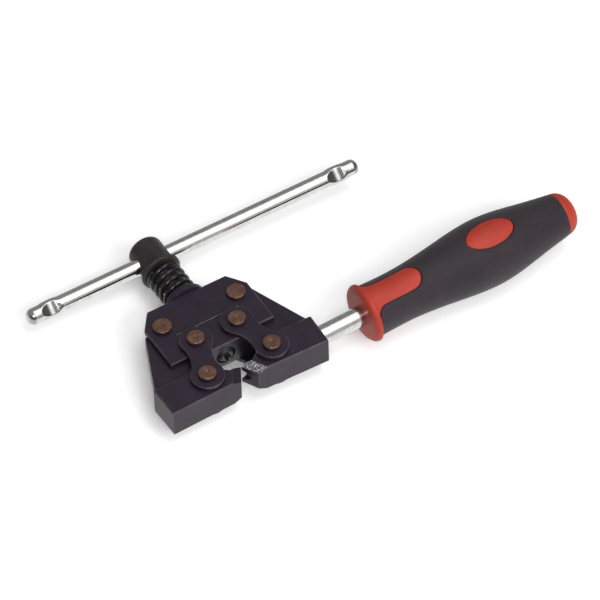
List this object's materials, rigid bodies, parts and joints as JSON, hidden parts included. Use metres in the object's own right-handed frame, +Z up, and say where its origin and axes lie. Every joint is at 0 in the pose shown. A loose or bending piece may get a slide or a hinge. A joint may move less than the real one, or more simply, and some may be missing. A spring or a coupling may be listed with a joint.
{
  "type": "chain tool",
  "caption": "Screw-type chain pin extractor: self-closing jaws hinged on a forked head, driven by a sprung spindle with a sliding T-bar, and a side handle with a soft two-colour grip.",
  "frame": {"origin": "centre of the chain seat, where the two closed jaw tips meet on the spindle's axis, at the middle of the head's thickness", "axes": "+Y along the spindle from the seat to the T-bar, +X towards the handle, +Z up, square to the flat of the head"},
  "size_m": [0.2496, 0.1044, 0.0334],
  "materials": {
    "black_oxide_steel": "black oxide, satin, bright on worn edges",
    "spring_steel": "dark oiled spring wire",
    "rivet_bronze": "copper-brown, ground flat",
    "zinc_plated_steel": "bright zinc plate",
    "hardened_steel": "bare ground steel",
    "red_plastic": "satin moulded",
    "black_rubber": "matt soft-touch"
  },
  "bodies": {
    "body": {"body_fork": "black_oxide_steel", "left_pivot_pin": "rivet_bronze", "right_pivot_pin": "rivet_bronze", "spring_seat": "black_oxide_steel", "spring": "spring_steel"},
    "crosshead": {"crosshead": "black_oxide_steel", "left_crosshead_pin": "rivet_bronze", "right_crosshead_pin": "rivet_bronze"},
    "left_jaw": {"left_jaw": "black_oxide_steel"},
    "right_jaw": {"right_jaw": "black_oxide_steel", "handle_rod": "zinc_plated_steel", "handle_core": "red_plastic", "handle_grip": "black_rubber"},
    "left_links": {"upper_left_link": "black_oxide_steel", "lower_left_link": "black_oxide_steel", "left_link_pin": "rivet_bronze"},
    "right_links": {"upper_right_link": "black_oxide_steel", "lower_right_link": "black_oxide_steel", "right_link_pin": "rivet_bronze"},
    "collar": {"thrust_collar": "black_oxide_steel"},
    "spindle": {"spindle": "black_oxide_steel", "punch": "hardened_steel"},
    "t_bar": {"t_bar": "zinc_plated_steel"}
  },
  "joints": [
    {"name": "right_jaw_pivot", "type": "hinge", "parent": "body", "child": "right_jaw", "pos_m": [0.0197, 0.0423, 0], "axis": [0, 0, 1], "range_deg": [0, 9], "stiffness_Nm_per_rad": 0.9, "springref_deg": -20.05},
    {"name": "left_jaw_pivot", "type": "hinge", "parent": "body", "child": "left_jaw", "pos_m": [-0.0197, 0.0423, 0], "axis": [0, 0, -1], "range_deg": [0, 9.5]},
    {"name": "crosshead_slide", "type": "slide", "parent": "body", "child": "crosshead", "axis": [0, -1, 0], "range_m": [0, 0.0026], "deforming": ["spring"]},
    {"name": "right_link_pivot", "type": "hinge", "parent": "crosshead", "child": "right_links", "pos_m": [0.011, 0.0265, 0], "axis": [0, 0, 1], "range_deg": [0, 17.02]},
    {"name": "left_link_pivot", "type": "hinge", "parent": "crosshead", "child": "left_links", "pos_m": [-0.011, 0.0265, 0], "axis": [0, 0, -1], "range_deg": [0, 17.02]},
    {"name": "screw_advance", "type": "slide", "parent": "crosshead", "child": "collar", "axis": [0, -1, 0], "range_m": [-0.00601, 0.00551], "deforming": ["spring"]},
    {"name": "screw_turn", "type": "hinge", "parent": "collar", "child": "spindle", "pos_m": [0, 0.08605, 0], "axis": [0, -1, 0], "range_deg": [-1440, 1320]},
    {"name": "t_bar_slide", "type": "slide", "parent": "spindle", "child": "t_bar", "axis": [1, 0, 0], "range_m": [-0.078, 0.033]}
  ],
  "couplings": [
    {"joint": "left_jaw_pivot", "follows": "right_jaw_pivot", "ratio": 1},
    {"joint": "crosshead_slide", "follows": "right_jaw_pivot", "m_per_rad": 0.01591},
    {"joint": "right_link_pivot", "follows": "right_jaw_pivot", "ratio": 1.836},
    {"joint": "left_link_pivot", "follows": "right_jaw_pivot", "ratio": 1.836},
    {"joint": "screw_advance", "follows": "screw_turn", "m_per_rad": 0.00023873}
  ]
}
